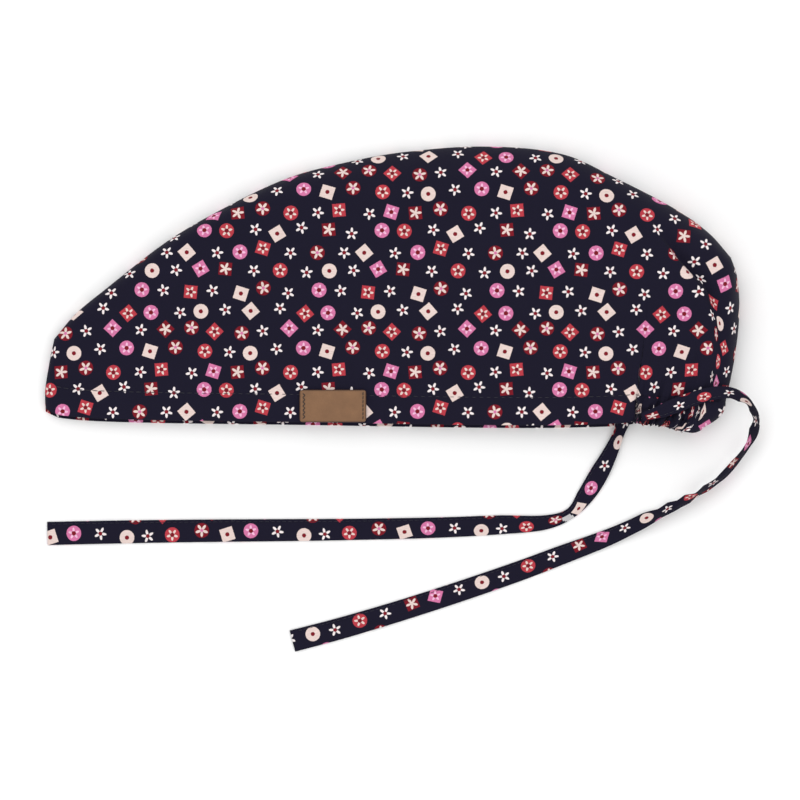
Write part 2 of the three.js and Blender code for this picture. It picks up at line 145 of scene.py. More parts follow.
LABEL_LIFT = 0.12  # from the cloth to the label's underside
LABEL_THICKNESS = 1.05
LABEL_FACE = 1.0  # where the label's thread dives in, over its underside
LABEL_CORNER = 1.6
LABEL_ROUND = 0.7  # reach of the rounded upper edge

STITCH_PITCH = 3.3
STITCH_LENGTH = 2.5
STITCH_SINK = 0.06  # how deep a hem stitch pulls into the cloth
TIE_STITCH = 1.8

# ---------------------------------------------------------------- the print

NAVY = (0.0078, 0.0066, 0.0185)
CREAM = (0.72, 0.58, 0.54)
WHITE = (0.80, 0.73, 0.73)
RED = (0.44, 0.040, 0.056)
DARK_RED = (0.185, 0.0075, 0.016)
PINK = (0.60, 0.165, 0.335)
PALE_PINK = (0.80, 0.46, 0.63)
REVERSE = (0.50, 0.49, 0.50)
REVERSE_TINT = (0.085, 0.09, 0.14)  # bare thread, mixed into the print on the inside of the cap

PRINT_REPEAT = (80.0, 72.0)
PRINT_JITTER = 1.4  # how far a motif may sit from its place in the rows
PRINT_TURNS = (-0.3, -0.1, 0.08, 0.26, 0.55, 0.7, 0.8)  # the motifs' turns, in radians
WHOLE_FACE = 9.0  # a body size that covers any face
PRINT_CHART = (  # one repeat of the cloth; every other row is set half a step along
    "*Cd*p*t",
    "e*r*o*q",
    "*pt*d*C",
    "r*C*e*p",
    "qedr*t*",
    "*o*pCdr",
    "td*q*ed",
    "*C*tp*o",
)
MOTIFS = {  # size: half its width; reach: of the petals round its heart, 0 where it has none
    "C": dict(square=1, size=2.95, body=CREAM, petals=0, reach=0.0, figure=CREAM, core=0.95, heart=DARK_RED),
    "o": dict(square=0, size=3.3, body=CREAM, petals=0, reach=0.0, figure=CREAM, core=0.95, heart=DARK_RED),
    "p": dict(square=0, size=3.3, body=PINK, petals=5, reach=2.5, figure=PALE_PINK, core=1.0, heart=DARK_RED),
    "q": dict(square=1, size=2.9, body=PINK, petals=5, reach=2.4, figure=PALE_PINK, core=0.95, heart=DARK_RED),
    "r": dict(square=0, size=3.3, body=RED, petals=5, reach=2.6, figure=CREAM, core=1.0, heart=DARK_RED),
    "t": dict(square=1, size=2.9, body=RED, petals=5, reach=2.5, figure=CREAM, core=0.95, heart=DARK_RED),
    "d": dict(square=0, size=3.3, body=DARK_RED, petals=5, reach=2.9, figure=CREAM, core=0.7, heart=PINK),
    "e": dict(square=1, size=2.9, body=DARK_RED, petals=5, reach=2.8, figure=CREAM, core=0.6, heart=CREAM),
    "*": dict(square=0, size=0.0, body=NAVY, petals=5, reach=2.8, figure=WHITE, core=0.9, heart=DARK_RED),
}


def print_repeat():
    """Places of one repeat's motifs: rows and columns of the chart, every other row set along by
    half a step, each motif moved and turned a little at random."""
    rng = np.random.default_rng(11)
    rows, columns = len(PRINT_CHART), len(PRINT_CHART[0])
    row, column = np.divmod(np.arange(rows * columns), columns)
    x = (column + 0.5 * (row % 2)) * PRINT_REPEAT[0] / columns
    y = row * PRINT_REPEAT[1] / rows
    places = np.stack([x, y], 1) + rng.uniform(-PRINT_JITTER, PRINT_JITTER, (len(x), 2))
    turns = rng.choice(PRINT_TURNS, len(x))
    kinds = np.array(list("".join(PRINT_CHART)))
    return places, turns, kinds


MOTIF_PLACES, MOTIF_TURNS, MOTIF_KINDS = print_repeat()


def lay_print(mesh, corners, bare=None):
    """Gives each face the motif nearest to it on the flat cloth. corners holds the cloth place of
    each corner of each face. The corners' places about that motif's middle, turned with it, go into
    a UV map, and the motif's sizes and colours into face attributes. bare marks faces that show the
    pale reverse of the cloth."""
    faces = corners.mean(1)
    repeat = np.array(PRINT_REPEAT)
    best = np.full(len(faces), 1e9)
    nearest = np.zeros(len(faces), int)
    for index, place in enumerate(MOTIF_PLACES):
        offset = (faces - place + repeat / 2) % repeat - repeat / 2
        distance = (offset**2).sum(1)
        closer = distance < best
        best[closer] = distance[closer]
        nearest[closer] = index
    offset = (faces - MOTIF_PLACES[nearest] + repeat / 2) % repeat - repeat / 2
    local = corners - faces[:, None] + offset[:, None]
    cos, sin = np.cos(MOTIF_TURNS[nearest])[:, None], np.sin(MOTIF_TURNS[nearest])[:, None]
    across, ahead = local[..., 0], local[..., 1]
    turned = np.stack([across * cos + ahead * sin, ahead * cos - across * sin], -1)
    for title, values in (("motif_place", turned), ("cloth", corners)):
        made = mesh.uv_layers.new(name=title, do_init=False)
        made.uv.foreach_set("vector", values.astype(np.float32).ravel())
    kinds = MOTIF_KINDS[nearest]
    for layer, size in (("body", "size"), ("figure", "reach"), ("heart", "core")):
        values = np.zeros((len(faces), 4), np.float32)
        for kind, motif in MOTIFS.items():
            values[kinds == kind] = (*motif[layer], motif[size])
        if bare is not None:
            values[bare] = (*REVERSE, WHOLE_FACE if layer == "body" else 0.0)
        made = mesh.attributes.new("motif_" + layer, "FLOAT_COLOR", "FACE")
        made.data.foreach_set("color", values.ravel())
    form = np.zeros((len(faces), 3), np.float32)
    for kind, motif in MOTIFS.items():
        form[kinds == kind] = (motif["square"], motif["petals"], 0)
    made = mesh.attributes.new("motif_form", "FLOAT_VECTOR", "FACE")
    made.data.foreach_set("vector", form.ravel())


# ---------------------------------------------------------------- materials


class Bench:
    """A material's node tree, with short calls that add one node each and return its output."""

    def __init__(self, name, **shader):
        self.material = bpy.data.materials.new(name)
        self.material.use_nodes = True
        self.tree = self.material.node_tree
        self.shader = self.tree.nodes["Principled BSDF"]
        for socket, value in shader.items():
            self.shader.inputs[socket.replace("_", " ")].default_value = value

    def node(self, kind, inputs=(), output=0, **settings):
        node = self.tree.nodes.new(kind)
        for key, value in settings.items():
            setattr(node, key, value)
        for key, value in dict(inputs).items():
            if isinstance(value, bpy.types.NodeSocket):
                self.tree.links.new(value, node.inputs[key])
            else:
                node.inputs[key].default_value = value
        return node.outputs[output]

    def math(self, operation, *values):
        return self.node("ShaderNodeMath", enumerate(values), operation=operation)

    def mix(self, share, first, second):
        inputs = {0: share, 6: first, 7: second}
        return self.node("ShaderNodeMix", inputs, output=2, data_type="RGBA")

    def noise(self, place, scale, detail, **settings):
        inputs = {"Vector": place, "Scale": scale, "Detail": detail}
        return self.node("ShaderNodeTexNoise", inputs, **settings)

    def step(self, value, edge, blur=0.09):
        """1 where value is under edge, 0 where it is over, with a soft border."""
        low = self.math("SUBTRACT", edge, blur)
        high = self.math("ADD", edge, blur)
        inputs = {0: value, 1: low, 2: high, 3: 1.0, 4: 0.0}
        return self.node("ShaderNodeMapRange", inputs, interpolation_type="SMOOTHSTEP")

    def to_shader(self, socket, value):
        self.tree.links.new(value, self.shader.inputs[socket])


def colour(rgb):
    """A colour with its full opacity, as sockets take it."""
    return (*rgb, 1.0)


def drawn_print(bench):
    """The motif on each face, from its local place in millimetres: body, then petals, then heart. A
    petal's edge is its reach times 0.26 plus 0.74 of a lobe, and the lobe is a power of the size of
    the cosine of half the petals' count times the angle. Noise moves every edge a little, as ink
    bleeds."""
    place = bench.node("ShaderNodeUVMap", uv_map="motif_place")
    parts = bench.node("ShaderNodeSeparateXYZ", {0: place}).node
    x, y = parts.outputs[0], parts.outputs[1]
    cloth = bench.node("ShaderNodeUVMap", uv_map="cloth")
    bleed = bench.noise(cloth, 2.4, 2.0, noise_dimensions="2D")
    bleed = bench.math("MULTIPLY", bench.math("SUBTRACT", bleed, 0.5), 0.35)
    read = lambda title: bench.node("ShaderNodeAttribute", attribute_name="motif_" + title).node
    body, figure, heart, drawing = read("body"), read("figure"), read("heart"), read("form")
    form = bench.node("ShaderNodeSeparateXYZ", {0: drawing.outputs["Vector"]}).node
    square, petals = form.outputs[0], form.outputs[1]
    far = bench.math("SQRT", bench.math("ADD", bench.math("MULTIPLY", x, x), bench.math("MULTIPLY", y, y)))
    side = bench.math("MAXIMUM", bench.math("ABSOLUTE", x), bench.math("ABSOLUTE", y))
    shape = bench.math("ADD", far, bench.math("MULTIPLY", square, bench.math("SUBTRACT", side, far)))
    shape = bench.math("ADD", shape, bleed)
    angle = bench.math("MULTIPLY", bench.math("ARCTAN2", y, x), bench.math("MULTIPLY", petals, 0.5))
    lobe = bench.math("POWER", bench.math("ABSOLUTE", bench.math("COSINE", angle)), 1.9)
    reach = bench.math("MULTIPLY", figure.outputs["Alpha"], bench.math("MULTIPLY_ADD", lobe, 0.74, 0.26))
    flower = bench.step(bench.math("ADD", far, bleed), reach)
    drawn = bench.math("MULTIPLY", flower, bench.math("GREATER_THAN", figure.outputs["Alpha"], 0.5))
    ink = bench.mix(bench.step(shape, body.outputs["Alpha"]), colour(NAVY), body.outputs["Color"])
    ink = bench.mix(drawn, ink, figure.outputs["Color"])
    centre = bench.step(bench.math("ADD", far, bleed), heart.outputs["Alpha"])
    return bench.mix(centre, ink, heart.outputs["Color"]), cloth


def weave(bench, cloth, pitch=0.36):
    """Plain weave as a checker of small bumps, where warp and weft take turns to lie on top: a
    half, and half the product of a sine along the cloth and one across it."""
    scaled = bench.node("ShaderNodeVectorMath", {0: cloth, 3: math.tau / pitch}, operation="SCALE")
    parts = bench.node("ShaderNodeSeparateXYZ", {0: scaled}).node
    warp = bench.math("SINE", parts.outputs[0])
    weft = bench.math("SINE", parts.outputs[1])
    return bench.math("MULTIPLY_ADD", bench.math("MULTIPLY", warp, weft), 0.5, 0.5)


def cotton_print(name, reverse=False):
    """Printed cotton: the motifs over navy, slubs and thread shade, a fine plain weave, soft sheen.
    The reverse is the same print seen through the cloth, mixed half and half with bare thread."""
    bench = Bench(name, Roughness=0.9, Sheen_Weight=0.03, Sheen_Roughness=0.5, Specular_IOR_Level=0.12)
    ink, cloth = drawn_print(bench)
    threads = weave(bench, cloth)
    slubs = bench.node("ShaderNodeMapping", {0: cloth, 3: (0.35, 5.0, 1.0)})
    slubs = bench.noise(slubs, 1.0, 3.0, noise_dimensions="2D")
    mottle = bench.noise(cloth, 0.06, 4.0, noise_dimensions="2D")
    shade = bench.math("MULTIPLY_ADD", threads, 0.10, 0.86)
    shade = bench.math("ADD", shade, bench.math("MULTIPLY", bench.math("SUBTRACT", slubs, 0.5), 0.5))
    shade = bench.math("ADD", shade, bench.math("MULTIPLY", mottle, 0.14))
    if reverse:
        ink = bench.mix(0.5, ink, colour(REVERSE_TINT))
    grey = bench.node("ShaderNodeCombineColor", {0: shade, 1: shade, 2: shade})
    shaded = {0: 1.0, 6: ink, 7: grey}
    ink = bench.node("ShaderNodeMix", shaded, output=2, data_type="RGBA", blend_type="MULTIPLY")
    bench.to_shader("Base Color", ink)
    rough = bench.math("MULTIPLY_ADD", slubs, 0.2, 0.76)
    bench.to_shader("Roughness", rough)
    height = bench.math("ADD", threads, bench.math("MULTIPLY", slubs, 1.6))
    bump = bench.node("ShaderNodeBump", {"Height": height, "Strength": 0.35, "Distance": 0.00007})
    bench.to_shader("Normal", bump)
    return bench.material


def sewing_thread(name, rgb):
    """Twisted thread: fine bands in light and dark, a little bent."""
    bench = Bench(name, Roughness=0.7, Sheen_Weight=0.1, Sheen_Roughness=0.4)
    place = bench.node("ShaderNodeTexCoord", output=3)
    twist = bench.node("ShaderNodeTexWave", {"Vector": place, "Scale": 900.0, "Distortion": 2.0}, output=1)
    tone = bench.mix(twist, colour([c * 0.55 for c in rgb]), colour([min(c * 1.25, 1) for c in rgb]))
    bench.to_shader("Base Color", tone)
    bump = bench.node("ShaderNodeBump", {"Height": twist, "Strength": 0.4, "Distance": 0.00008})
    bench.to_shader("Normal", bump)
    return bench.material


def tan_hide(name):
    """Tan leather: pores and fine creases, cloudy shade, darker cut edges."""
    bench = Bench(name, Roughness=0.55, Specular_IOR_Level=0.35)
    place = bench.node("ShaderNodeTexCoord", output=3)
    cloudy = {"Vector": place, "Scale": 160.0, "Detail": 6.0, "Roughness": 0.6}
    cloud = bench.node("ShaderNodeTexNoise", cloudy)
    pores = {"Vector": place, "Scale": 1500.0}
    grain = bench.node("ShaderNodeTexVoronoi", pores, feature="DISTANCE_TO_EDGE")
    fine = bench.noise(place, 2600.0, 3.0)
    tone = bench.mix(cloud, colour((0.120, 0.056, 0.024)), colour((0.31, 0.162, 0.078)))
    tone = bench.mix(bench.math("MULTIPLY", fine, 0.7), tone, colour((0.16, 0.074, 0.030)))
    worn = bench.node("ShaderNodeAttribute", attribute_name="edge_wear").node.outputs["Fac"]
    tone = bench.mix(worn, tone, colour((0.05, 0.022, 0.012)))
    bench.to_shader("Base Color", tone)
    rough = bench.math("MULTIPLY_ADD", cloud, 0.25, 0.42)
    bench.to_shader("Roughness", rough)
    height = bench.math("ADD", bench.math("MINIMUM", grain, 0.12), bench.math("MULTIPLY", fine, 0.2))
    bump = bench.node("ShaderNodeBump", {"Height": height, "Strength": 0.5, "Distance": 0.0004})
    bench.to_shader("Normal", bump)
    return bench.material


# ---------------------------------------------------------------- shapes on grids


def along(table, column, at, key="x"):
    """Smooth curve through a table's column: a cubic between each two rows, whose slope at a row is
    that between the rows on its two sides."""
    keys = np.array([row[key] for row in table], float)
    values = np.array([row[column] for row in table], float)
    slope = np.gradient(values, keys)
    slope[1:-1] = (values[2:] - values[:-2]) / (keys[2:] - keys[:-2])
    left = np.clip(np.searchsorted(keys, at) - 1, 0, len(keys) - 2)
    span = keys[left + 1] - keys[left]
    t = np.clip((at - keys[left]) / span, 0, 1)
    rise = t * t * (3 - 2 * t)
    start = values[left] * (1 - rise) + slope[left] * span * t * (1 - t) ** 2
    return start + values[left + 1] * rise - slope[left + 1] * span * t * t * (1 - t)


def section(column, x):
    """A height from the table of cross sections, at x."""
    return along(SECTIONS, column, x)


def smooth(value, low, high):
    """0 under low, 1 over high, and an S curve between: 3 times the squared share less twice its cube."""
    t = np.clip((value - low) / (high - low), 0, 1)
    return t * t * (3 - 2 * t)


def climb(inset, reach, blunt=0.5):
    """Height in from an edge: 0 there and 1 from the reach on, a parabola raised to the power of
    the edge's bluntness. One half gives a quarter round."""
    return (1 - (1 - np.clip(inset / reach, 0, 1)) ** 2) ** blunt


def lower_of(*heights):
    """The lowest of several heights, eased where two cross: half their sum less half the root of
    their squared difference and a little."""
    ease = 0.012
    low = heights[0]
    for other in heights[1:]:
        low = (low + other - np.sqrt((low - other) ** 2 + ease)) / 2
    return np.clip(low, 0, 1)


def bell(distance, width):
    """1 at no distance, falling off as the exponential of minus the square of distance over width."""
    return np.exp(-((distance / width) ** 2))


def ripple(u, v, seed, waves, shortest, longest):
    """Soft uneven ripples: the sum of many plane waves of random direction, length and phase, over the
    root of their number."""
    rng = np.random.default_rng(seed)
    total = np.zeros_like(u)
    for _ in range(waves):
        heading, phase = rng.uniform(0, math.tau, 2)
        length = rng.uniform(shortest, longest)
        total += np.sin(math.tau / length * (u * math.cos(heading) + v * math.sin(heading)) + phase)
    return total / math.sqrt(waves)


def panel_plan(hem_x, up, hem_lift):
    """Plan of a side: x runs between the forehead and back edges, and y between the hem and the
    crown line. Also gives the distances in from the three edges of the centre seam."""
    foot, heel = FOREHEAD_EDGE[0]["x"], BACK_EDGE[0]["x"]
    across = (hem_x - foot) / (heel - foot)
    front = along(FOREHEAD_EDGE, "x", up, "up")
    rear = along(BACK_EDGE, "x", up, "up")
    x = front + (rear - front) * across
    crown_x = FOREHEAD_EDGE[-1]["x"] + (BACK_EDGE[-1]["x"] - FOREHEAD_EDGE[-1]["x"]) * across
    crown_y = along(CROWN_LINE, "y", crown_x)
    slope = (along(CROWN_LINE, "y", crown_x + 1) - along(CROWN_LINE, "y", crown_x - 1)) / 2
    open_y = along(HEM_LINE, "y", hem_x) + hem_lift
    hem_y = np.where(hem_x < CASING_START, open_y, along(NAPE, "sewn", hem_x))
    mouth_y = np.where(hem_x < CASING_START, open_y, along(NAPE, "edge", hem_x))
    y = hem_y + (crown_y - hem_y) * up
    return x, y, y - mouth_y, (x - front, (crown_y - y) / np.hypot(1, slope), rear - x)


def tuck_place(x, y):
    """Signed distance from the tuck's line, above 0 towards the back, and the tuck's depth at the
    nearest point."""
    line = np.array([(row["x"], row["y"]) for row in TUCK], float)
    depth = np.array([row["depth"] for row in TUCK], float)
    best = np.full(x.shape, 1e9)
    signed, deep = np.zeros_like(x), np.zeros_like(x)
    for i in range(len(line) - 1):
        run = line[i + 1] - line[i]
        dx, dy = x - line[i, 0], y - line[i, 1]
        share = np.clip((dx * run[0] + dy * run[1]) / (run @ run), 0, 1)
        off = np.hypot(dx - share * run[0], dy - share * run[1])
        nearer = off < best
        best = np.where(nearer, off, best)
        side = np.sign(run[0] * dy - run[1] * dx)
        signed = np.where(nearer, off * side, signed)
        deep = np.where(nearer, depth[i] + (depth[i + 1] - depth[i]) * share, deep)
    return signed, deep


def pucker(x):
    """Uneven gathers along the elastic: waves of three pitches added up."""
    return sum(wave["share"] * np.sin(math.tau * x / wave["pitch"] + wave["phase"]) for wave in GATHER_WAVES)


def lengths(points):
    """Running length along the first axis of a grid of points."""
    steps = np.linalg.norm(np.diff(points, axis=0), axis=-1)
    return np.concatenate([np.zeros_like(steps[:1]), np.cumsum(steps, axis=0)])


def read_off(values, run, at):
    """Rows of a table of points or directions, read off at some running lengths, straight between rows."""
    return np.stack([np.interp(at, run, values[:, axis]) for axis in range(3)], -1)


def cloth_places(points, hem_y):
    """Where each grid point lies on the flat cloth: running lengths along the rows, counted from
    where the casing starts, and up the columns, counted from the hem. Where the mouth steps up to
    the casing only the run along x counts."""
    dx, dy, dz = np.abs(np.diff(points, axis=0)).transpose(2, 0, 1)
    steps = np.where(dy > 2 * dx, dx, np.hypot(dx, dz))
    u = np.concatenate([np.zeros_like(steps[:1]), np.cumsum(steps, axis=0)])
    start = np.abs(points[:, 0, 0] - CASING_START).argmin()
    u = u - u[start] + points[start, :, 0]
    v = lengths(points.swapaxes(0, 1)).swapaxes(0, 1) + hem_y
    return u, v


def upper_side(hem_x, up):
    """Outer face of the upper side: hem band and dome, which climb from whichever edge is nearest,
    then the folds."""
    x, y, from_hem, (front, crown, back) = panel_plan(hem_x, up, HEM_SHOW)
    seam = section("seam", x) + SEAM_SLIT
    domed = smooth(from_hem, HEM_BAND, HEM_BAND + DOME_RISE)
    dome = section("hem", x) + (section("crown", x) - section("hem", x)) * domed
    from_crown = climb(crown, section("reach", x), section("blunt", x))
    turned = lower_of(climb(front, **FRONT_CLIMB), from_crown, climb(back, **BACK_CLIMB))
    z = seam + (dome - seam) * turned
    u, v = cloth_places(np.stack([x, y, z], -1), y[:, :1])
    # spare cloth of the tuck and of the gathers, on the flat cloth
    signed, depth = tuck_place(x, y)
    top = TUCK[0]
    dx, dy = x - top["x"], y - top["y"]
    sector = np.clip((math.pi / 2 - np.arctan2(dy, dx)) / math.radians(150), 0, 1)
    wedge = TUCK_WEDGE * smooth(signed, -3.0, 6.0) * sector
    nape = np.clip(hem_x - CASING_START, 0, None)
    spare = 0.25 * nape * np.exp(-np.clip(from_hem - HEM_DEPTH, 0, None) / HEM_DEPTH)
    u = u + dx * np.cos(wedge) - dy * np.sin(wedge) - dx + spare
    v = v + dx * np.sin(wedge) + dy * np.cos(wedge) - dy
    # the tuck: the cloth in front of it rolls over the valley
    free = climb(np.minimum(back, crown), 8.0)
    slide = depth * free * (0.34 * bell(signed + 1.5, 3.0) - 0.46 * bell(signed - 2.0, 2.2))
    z = z - depth * free * (0.9 * bell(signed - 2.0, 2.5) - 0.14 * bell(signed + 3.0, 4.5))
    x = x + slide * 0.96
    y = y + slide * 0.2
    # gathers that run up from the elastic, and two creases they throw
    above = np.clip(from_hem - 11.5, 0, None)
    fade = np.exp(-above / 8.0) * smooth(hem_x, 108, 113) * smooth(back, 0, 8)
    z = z + 1.25 * pucker(hem_x - 0.12 * above) * fade
    for crease in CREASES:
        off = x - crease["x"] - crease["slant"] * (y - crease["y"])
        z = z - crease["depth"] * bell(off, crease["width"]) * bell(y - crease["middle"], crease["length"])
    # soft unevenness, and the flat hem with its line of stitches
    still = turned * (0.35 + 0.65 * smooth(from_hem, 6, 22))
    z = z + still * (0.30 * ripple(u, v, 5, 9, 34, 80) + 0.10 * ripple(u, v, 8, 14, 7, 18))
    sewn = (hem_x < CASING_START) * 1.0
    z = z - 0.26 * sewn * bell(from_hem - HEM_DEPTH, 0.9) * turned
    z = z + 0.07 * sewn * turned * np.sin(math.tau * u / STITCH_PITCH) * bell(from_hem - HEM_DEPTH, 2.2)
    return np.stack([x, y, z], -1), np.stack([u, v], -1), from_hem


def under_side(hem_x, up):
    """Outer face of the under side: flat on the floor, turned up to the seam at its edges."""
    x, y, from_hem, (front, crown, back) = panel_plan(hem_x, up, 0.0)
    seam = section("seam", x) - SEAM_SLIT
    reach = 3 + 0.8 * seam
    z = seam * (1 - climb(front, reach) * climb(crown, reach) * climb(back, reach))
    u, v = cloth_places(np.stack([x, y, z], -1), y[:, :1])
    lift = smooth(from_hem, 3, 20) * smooth(crown, 2, 14) * smooth(back, 2, 14) * smooth(front, 2, 14)
    z = z + 0.35 * lift * np.clip(0.6 + 0.4 * ripple(u, v, 21, 9, 26, 70), 0, None)
    return np.stack([x, y, z], -1), np.stack([u + 31.0, v + 17.0], -1), from_hem


def casing_side(around, up):
    """Outer face of the casing: from its upper end round the fold at the nape to its under end.
    around is below 0 on the upper side. The fold leans back with height, by a power of the share
    up. Three things are added up on the upper side: the waves of the gathers, sharp folds that are
    a power of the size of a sine and grow towards the lower edge, and small ripples."""
    fold = FOLD_FOOT + FOLD_LEAN * (1 - (1 - up) ** 2.5)
    inset = np.abs(around) * (1 + (fold - FOLD_FOOT - FOLD_LEAN) / CASING_RUN) * CASING_SPREAD
    x = fold - inset
    sewn = along(NAPE, "sewn", x)
    edge = along(NAPE, "edge", x) + 2.6 * smooth(x, 132.0, 142.0) ** 2
    y = edge + (sewn - 0.05 - edge) * up
    seam = section("seam", fold)
    upper = seam + (section("hem", x) - seam) * climb(inset, **BACK_CLIMB)
    under = seam * (1 - climb(inset, 3 + 0.8 * seam))
    z = np.where(around > 0, under, upper)
    crowd = smooth(inset, 6, 16)
    spread = inset * (1 + (GATHER - 1) * crowd)
    u = fold + np.sign(around) * spread + 12 + 0.8 * crowd * np.sin(1.9 * x + 0.9 * y)
    v = y + 0.7 * crowd * np.sin(math.tau * x / 3.3 + 1.0)
    loose = smooth(inset, 3, 12) * (around < 0)
    lower = 1 - up
    slant = x + 2.2 * lower + 0.5 * np.sin(0.8 * y)
    folds = 1 - 2 * np.abs(np.sin(math.pi * slant / 3.4 + 0.9 * np.sin(0.9 * slant))) ** 0.6
    small = np.sin(math.tau * slant / 1.7 + 1.3 * np.sin(1.1 * y)) * np.sin(0.7 * x + 1.1)
    z = z + loose * (0.8 * pucker(x + 1.2 * lower) + crowd * ((0.45 + 0.9 * lower) * folds + 0.3 * small))
    y = y - loose * lower * (0.45 * np.sin(math.tau * x / 4.3) + 0.2 * folds)
    z = z - 0.55 * bell(up - 0.5, 0.05) * loose
    return np.stack([x, y, z], -1), np.stack([u, v], -1), np.full(x.shape, 1e3)


def end_eased(start, stop, ease, cells):
    """Grid lines in even steps and then, over the last share, on a parabola that ends level, so
    that a quarter-round roll gets even steps."""
    t = np.linspace(0, 1, cells + 1)
    even = 1 - ease
    scale = 1 / (1 - even**2)
    eased = np.where(t < even, 2 / (1 + even) * t, 1 - scale * (1 - t) ** 2)
    return start + (stop - start) * eased


def facing(points):
    """Unit normals of a grid: the cross product of its differences along the two axes."""
    normal = np.cross(np.gradient(points, axis=0), np.gradient(points, axis=1))
    return normal / np.maximum(np.linalg.norm(normal, axis=-1, keepdims=True), 1e-12)


# ---------------------------------------------------------------- meshes


def put_mesh(name, points, faces, materials, slots=None):
    """A mesh piece in metres from points in millimetres and faces as rows of corners. What would
    dip under the floor is pressed flat on it."""
    points = points.reshape(-1, 3) * MM
    points[:, 2] = np.maximum(points[:, 2], 0.01 * MM)
    mesh = bpy.data.meshes.new(name)
    mesh.from_pydata(points.tolist(), [], faces.tolist())
    for material in materials:
        mesh.materials.append(material)
    if slots is not None:
        mesh.polygons.foreach_set("material_index", slots.astype(np.int32))
    mesh.polygons.foreach_set("use_smooth", np.ones(len(mesh.polygons), bool))
    mesh.update()
    piece = bpy.data.objects.new(name, mesh)
    bpy.context.scene.collection.objects.link(piece)
    return piece


def tube_faces(rings, sides):
    """Quads of a tube: every ring of corners joined to the next one, all the way round."""
    i, j = np.meshgrid(np.arange(rings - 1), np.arange(sides), indexing="ij")
    after = (j + 1) % sides
    faces = np.stack([i * sides + j, i * sides + after, (i + 1) * sides + after, (i + 1) * sides + j], -1)
    return faces.reshape(-1, 4)


def sleeve(name, outer, cloth, from_hem, wall, materials, mirrored=False, level_seam=True):
    """Closed wall of cloth. Each column of the grid becomes a loop: down the outer face, round the
    turned edge at the mouth, and up the inner face set in by the wall. Loops are joined to their
    neighbours and the first and last are closed."""
    normal = facing(outer) * (-1 if mirrored else 1)
    if level_seam:
        for edge in (np.s_[0], np.s_[-1], np.s_[:, -1]):
            normal[edge][..., 2] = 0
        normal /= np.maximum(np.linalg.norm(normal, axis=-1, keepdims=True), 1e-12)
    inner = outer - wall[..., None] * normal
    columns, rows = outer.shape[:2]
    turn_steps = 4
    mouth = (outer[:, 0] + inner[:, 0]) / 2
    outward = outer[:, 0] - outer[:, 1]
    outward -= (outward * normal[:, 0]).sum(-1, keepdims=True) * normal[:, 0]
    outward /= np.linalg.norm(outward, axis=-1, keepdims=True)
    angles = np.linspace(0, math.pi, turn_steps + 2)[1:-1]
    half = wall[:, :1] / 2
    rims = [mouth + half * (math.cos(a) * normal[:, 0] + math.sin(a) * outward) for a in angles]
    loop = np.concatenate([outer[:, ::-1], np.stack(rims, 1), inner], 1)
    rim_cloth = [cloth[:, 0] - np.stack([0 * half[:, 0], half[:, 0] * a], -1) for a in angles]
    turned_in = cloth.copy()
    turned_in[..., 1] = 2 * cloth[:, :1, 1] - cloth[..., 1] - half * math.pi
    flat = np.concatenate([cloth[:, ::-1], np.stack(rim_cloth, 1), cloth], 1).reshape(-1, 2)
    folded = np.concatenate([cloth[:, ::-1], np.stack(rim_cloth, 1), turned_in], 1).reshape(-1, 2)
    size = loop.shape[1]
    pair = np.arange(size // 2 - 1)
    cap = np.stack([pair, size - 1 - pair, size - 2 - pair, pair + 1], -1)
    caps = np.concatenate([cap, cap[:, ::-1] + (columns - 1) * size])
    faces = np.concatenate([tube_faces(columns, size), caps])
    if mirrored:
        faces = faces[:, ::-1]
    step = np.concatenate([np.tile(np.arange(size), columns - 1), np.zeros(len(caps), int)])
    within = step >= rows + turn_steps
    hem_of = np.concatenate([from_hem[:, ::-1], 0 * from_hem[:, :turn_steps], from_hem], 1).reshape(-1)
    in_band = within & (hem_of[faces].max(1) < HEM_DEPTH)
    slots = np.where(within & ~in_band, 1, 0) if len(materials) > 1 else np.zeros(len(faces), int)
    piece = put_mesh(name, loop, faces, materials, slots)
    folded_faces = in_band | (step >= rows - 1) & (step < rows + turn_steps)
    corners = np.where(folded_faces[:, None, None], folded[faces], flat[faces])
    lay_print(piece.data, corners)
    return piece


def panel_grid():
    """Grid of a side: hem x by share up, closer at the seam's edges and across the tuck. The mouth
    steps up to the casing between the columns at 109.0 and 109.8."""
    foot, heel = FOREHEAD_EDGE[0]["x"], BACK_EDGE[0]["x"]
    columns = np.concatenate([
        foot + 6 * np.linspace(0, 1, 9)[:-1] ** 2,
        np.linspace(foot + 6, 100, 196)[:-1],
        np.linspace(100, 109.0, 10),
        np.linspace(109.8, 144, 66)[:-1],
        heel - (heel - 144) * np.linspace(1, 0, 15) ** 2,
    ])
    rows = end_eased(0.0, 1.0, 0.3, 104)
    return np.meshgrid(columns, rows, indexing="ij")


def make_sides(cotton, reverse):
    """The two sides: one layer of cloth, and the thicker turned hem up to the stitches."""
    hem_x, up = panel_grid()
    made = []
    for name, shape, mirrored in (("side_upper", upper_side, False), ("side_under", under_side, True)):
        points, cloth, from_hem = shape(hem_x, up)
        wall = COTTON + (HEM_COTTON - COTTON) * (1 - smooth(from_hem, HEM_DEPTH - 0.5, HEM_DEPTH + 0.5))
        made.append(sleeve(name, points, cloth, from_hem, wall, [cotton, reverse], mirrored))
    return made


def make_casing(cotton):
    """The casing: grid lines close together at the fold, and even along the gathers."""
    inset = np.concatenate([5 * np.linspace(0, 1, 14)[:-1] ** 2, np.linspace(5, CASING_END, 66)])
    around = np.concatenate([-inset[:0:-1], inset])
    around, up = np.meshgrid(around, np.linspace(0, 1, 40), indexing="ij")
    points, cloth, from_hem = casing_side(around, up)
    wall = np.full(around.shape, CASING_WALL)
    return sleeve("nape_gathers", points, cloth, from_hem, wall, [cotton], level_seam=False)


